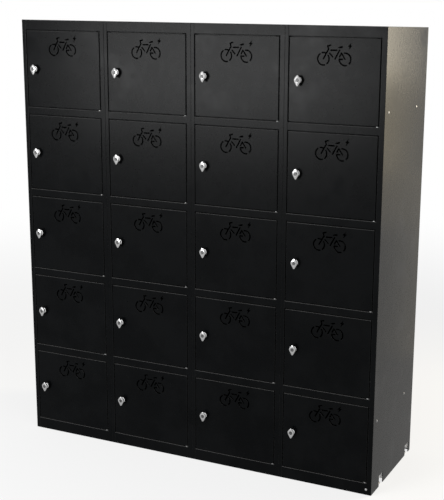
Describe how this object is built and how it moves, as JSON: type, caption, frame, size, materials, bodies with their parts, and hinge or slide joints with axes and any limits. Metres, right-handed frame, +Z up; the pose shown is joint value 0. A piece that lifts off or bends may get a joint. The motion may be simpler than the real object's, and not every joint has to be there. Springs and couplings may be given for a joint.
{
  "type": "locker",
  "caption": "Steel locker bank for riders' batteries and gear: square compartments, hinged doors with turn locks and a cut-out electric bicycle sign.",
  "frame": {"origin": "middle of the bank's footprint, on the floor", "axes": "+Z up; the doors face -Y; +X to the right as one looks at the doors"},
  "size_m": [1.6074, 0.5221, 1.8],
  "materials": {
    "black_powder_coat": "satin black powder coat",
    "chrome": "polished",
    "bright_zinc": "bright zinc plate"
  },
  "bodies": {
    "cabinet": {"column_1_shell": "black_powder_coat", "column_1_front_frame": "black_powder_coat", "column_1_shelves": "black_powder_coat", "column_2_shell": "black_powder_coat", "column_2_front_frame": "black_powder_coat", "column_2_shelves": "black_powder_coat", "column_3_shell": "black_powder_coat", "column_3_front_frame": "black_powder_coat", "column_3_shelves": "black_powder_coat", "column_4_shell": "black_powder_coat", "column_4_front_frame": "black_powder_coat", "column_4_shelves": "black_powder_coat", "column_floors": "black_powder_coat", "column_tops": "black_powder_coat", "side_panel_left": "black_powder_coat", "side_panel_right": "black_powder_coat", "case_rivets": "bright_zinc", "levelling_feet": "bright_zinc", "column_bolts": "bright_zinc", "hinge_pins": "bright_zinc"},
    "door_01": {"door_01": "black_powder_coat"},
    "lock_01": {"lock_01": "chrome"},
    "door_02": {"door_02": "black_powder_coat"},
    "lock_02": {"lock_02": "chrome"},
    "door_03": {"door_03": "black_powder_coat"},
    "lock_03": {"lock_03": "chrome"},
    "door_04": {"door_04": "black_powder_coat"},
    "lock_04": {"lock_04": "chrome"},
    "door_05": {"door_05": "black_powder_coat"},
    "lock_05": {"lock_05": "chrome"},
    "door_06": {"door_06": "black_powder_coat"},
    "lock_06": {"lock_06": "chrome"},
    "door_07": {"door_07": "black_powder_coat"},
    "lock_07": {"lock_07": "chrome"},
    "door_08": {"door_08": "black_powder_coat"},
    "lock_08": {"lock_08": "chrome"},
    "door_09": {"door_09": "black_powder_coat"},
    "lock_09": {"lock_09": "chrome"},
    "door_10": {"door_10": "black_powder_coat"},
    "lock_10": {"lock_10": "chrome"},
    "door_11": {"door_11": "black_powder_coat"},
    "lock_11": {"lock_11": "chrome"},
    "door_12": {"door_12": "black_powder_coat"},
    "lock_12": {"lock_12": "chrome"},
    "door_13": {"door_13": "black_powder_coat"},
    "lock_13": {"lock_13": "chrome"},
    "door_14": {"door_14": "black_powder_coat"},
    "lock_14": {"lock_14": "chrome"},
    "door_15": {"door_15": "black_powder_coat"},
    "lock_15": {"lock_15": "chrome"},
    "door_16": {"door_16": "black_powder_coat"},
    "lock_16": {"lock_16": "chrome"},
    "door_17": {"door_17": "black_powder_coat"},
    "lock_17": {"lock_17": "chrome"},
    "door_18": {"door_18": "black_powder_coat"},
    "lock_18": {"lock_18": "chrome"},
    "door_19": {"door_19": "black_powder_coat"},
    "lock_19": {"lock_19": "chrome"},
    "door_20": {"door_20": "black_powder_coat"},
    "lock_20": {"lock_20": "chrome"}
  },
  "joints": [
    {"name": "door_01_hinge", "type": "hinge", "parent": "cabinet", "child": "door_01", "pos_m": [-0.4275, -0.244, 1.5995], "axis": [0, 0, 1], "range_deg": [0, 105]},
    {"name": "lock_01_turn", "type": "hinge", "parent": "door_01", "child": "lock_01", "pos_m": [-0.739, -0.25, 1.5995], "axis": [0, 1, 0], "range_deg": [0, 90]},
    {"name": "door_02_hinge", "type": "hinge", "parent": "cabinet", "child": "door_02", "pos_m": [-0.0275, -0.244, 1.5995], "axis": [0, 0, 1], "range_deg": [0, 105]},
    {"name": "lock_02_turn", "type": "hinge", "parent": "door_02", "child": "lock_02", "pos_m": [-0.339, -0.25, 1.5995], "axis": [0, 1, 0], "range_deg": [0, 90]},
    {"name": "door_03_hinge", "type": "hinge", "parent": "cabinet", "child": "door_03", "pos_m": [0.3725, -0.244, 1.5995], "axis": [0, 0, 1], "range_deg": [0, 105]},
    {"name": "lock_03_turn", "type": "hinge", "parent": "door_03", "child": "lock_03", "pos_m": [0.061, -0.25, 1.5995], "axis": [0, 1, 0], "range_deg": [0, 90]},
    {"name": "door_04_hinge", "type": "hinge", "parent": "cabinet", "child": "door_04", "pos_m": [0.7725, -0.244, 1.5995], "axis": [0, 0, 1], "range_deg": [0, 105]},
    {"name": "lock_04_turn", "type": "hinge", "parent": "door_04", "child": "lock_04", "pos_m": [0.461, -0.25, 1.5995], "axis": [0, 1, 0], "range_deg": [0, 90]},
    {"name": "door_05_hinge", "type": "hinge", "parent": "cabinet", "child": "door_05", "pos_m": [-0.4275, -0.244, 1.2515], "axis": [0, 0, 1], "range_deg": [0, 105]},
    {"name": "lock_05_turn", "type": "hinge", "parent": "door_05", "child": "lock_05", "pos_m": [-0.739, -0.25, 1.2515], "axis": [0, 1, 0], "range_deg": [0, 90]},
    {"name": "door_06_hinge", "type": "hinge", "parent": "cabinet", "child": "door_06", "pos_m": [-0.0275, -0.244, 1.2515], "axis": [0, 0, 1], "range_deg": [0, 105]},
    {"name": "lock_06_turn", "type": "hinge", "parent": "door_06", "child": "lock_06", "pos_m": [-0.339, -0.25, 1.2515], "axis": [0, 1, 0], "range_deg": [0, 90]},
    {"name": "door_07_hinge", "type": "hinge", "parent": "cabinet", "child": "door_07", "pos_m": [0.3725, -0.244, 1.2515], "axis": [0, 0, 1], "range_deg": [0, 105]},
    {"name": "lock_07_turn", "type": "hinge", "parent": "door_07", "child": "lock_07", "pos_m": [0.061, -0.25, 1.2515], "axis": [0, 1, 0], "range_deg": [0, 90]},
    {"name": "door_08_hinge", "type": "hinge", "parent": "cabinet", "child": "door_08", "pos_m": [0.7725, -0.244, 1.2515], "axis": [0, 0, 1], "range_deg": [0, 105]},
    {"name": "lock_08_turn", "type": "hinge", "parent": "door_08", "child": "lock_08", "pos_m": [0.461, -0.25, 1.2515], "axis": [0, 1, 0], "range_deg": [0, 90]},
    {"name": "door_09_hinge", "type": "hinge", "parent": "cabinet", "child": "door_09", "pos_m": [-0.4275, -0.244, 0.9035], "axis": [0, 0, 1], "range_deg": [0, 105]},
    {"name": "lock_09_turn", "type": "hinge", "parent": "door_09", "child": "lock_09", "pos_m": [-0.739, -0.25, 0.9035], "axis": [0, 1, 0], "range_deg": [0, 90]},
    {"name": "door_10_hinge", "type": "hinge", "parent": "cabinet", "child": "door_10", "pos_m": [-0.0275, -0.244, 0.9035], "axis": [0, 0, 1], "range_deg": [0, 105]},
    {"name": "lock_10_turn", "type": "hinge", "parent": "door_10", "child": "lock_10", "pos_m": [-0.339, -0.25, 0.9035], "axis": [0, 1, 0], "range_deg": [0, 90]},
    {"name": "door_11_hinge", "type": "hinge", "parent": "cabinet", "child": "door_11", "pos_m": [0.3725, -0.244, 0.9035], "axis": [0, 0, 1], "range_deg": [0, 105]},
    {"name": "lock_11_turn", "type": "hinge", "parent": "door_11", "child": "lock_11", "pos_m": [0.061, -0.25, 0.9035], "axis": [0, 1, 0], "range_deg": [0, 90]},
    {"name": "door_12_hinge", "type": "hinge", "parent": "cabinet", "child": "door_12", "pos_m": [0.7725, -0.244, 0.9035], "axis": [0, 0, 1], "range_deg": [0, 105]},
    {"name": "lock_12_turn", "type": "hinge", "parent": "door_12", "child": "lock_12", "pos_m": [0.461, -0.25, 0.9035], "axis": [0, 1, 0], "range_deg": [0, 90]},
    {"name": "door_13_hinge", "type": "hinge", "parent": "cabinet", "child": "door_13", "pos_m": [-0.4275, -0.244, 0.5555], "axis": [0, 0, 1], "range_deg": [0, 105]},
    {"name": "lock_13_turn", "type": "hinge", "parent": "door_13", "child": "lock_13", "pos_m": [-0.739, -0.25, 0.5555], "axis": [0, 1, 0], "range_deg": [0, 90]},
    {"name": "door_14_hinge", "type": "hinge", "parent": "cabinet", "child": "door_14", "pos_m": [-0.0275, -0.244, 0.5555], "axis": [0, 0, 1], "range_deg": [0, 105]},
    {"name": "lock_14_turn", "type": "hinge", "parent": "door_14", "child": "lock_14", "pos_m": [-0.339, -0.25, 0.5555], "axis": [0, 1, 0], "range_deg": [0, 90]},
    {"name": "door_15_hinge", "type": "hinge", "parent": "cabinet", "child": "door_15", "pos_m": [0.3725, -0.244, 0.5555], "axis": [0, 0, 1], "range_deg": [0, 105]},
    {"name": "lock_15_turn", "type": "hinge", "parent": "door_15", "child": "lock_15", "pos_m": [0.061, -0.25, 0.5555], "axis": [0, 1, 0], "range_deg": [0, 90]},
    {"name": "door_16_hinge", "type": "hinge", "parent": "cabinet", "child": "door_16", "pos_m": [0.7725, -0.244, 0.5555], "axis": [0, 0, 1], "range_deg": [0, 105]},
    {"name": "lock_16_turn", "type": "hinge", "parent": "door_16", "child": "lock_16", "pos_m": [0.461, -0.25, 0.5555], "axis": [0, 1, 0], "range_deg": [0, 90]},
    {"name": "door_17_hinge", "type": "hinge", "parent": "cabinet", "child": "door_17", "pos_m": [-0.4275, -0.244, 0.2075], "axis": [0, 0, 1], "range_deg": [0, 105]},
    {"name": "lock_17_turn", "type": "hinge", "parent": "door_17", "child": "lock_17", "pos_m": [-0.739, -0.25, 0.2075], "axis": [0, 1, 0], "range_deg": [0, 90]},
    {"name": "door_18_hinge", "type": "hinge", "parent": "cabinet", "child": "door_18", "pos_m": [-0.0275, -0.244, 0.2075], "axis": [0, 0, 1], "range_deg": [0, 105]},
    {"name": "lock_18_turn", "type": "hinge", "parent": "door_18", "child": "lock_18", "pos_m": [-0.339, -0.25, 0.2075], "axis": [0, 1, 0], "range_deg": [0, 90]},
    {"name": "door_19_hinge", "type": "hinge", "parent": "cabinet", "child": "door_19", "pos_m": [0.3725, -0.244, 0.2075], "axis": [0, 0, 1], "range_deg": [0, 105]},
    {"name": "lock_19_turn", "type": "hinge", "parent": "door_19", "child": "lock_19", "pos_m": [0.061, -0.25, 0.2075], "axis": [0, 1, 0], "range_deg": [0, 90]},
    {"name": "door_20_hinge", "type": "hinge", "parent": "cabinet", "child": "door_20", "pos_m": [0.7725, -0.244, 0.2075], "axis": [0, 0, 1], "range_deg": [0, 105]},
    {"name": "lock_20_turn", "type": "hinge", "parent": "door_20", "child": "lock_20", "pos_m": [0.461, -0.25, 0.2075], "axis": [0, 1, 0], "range_deg": [0, 90]}
  ]
}
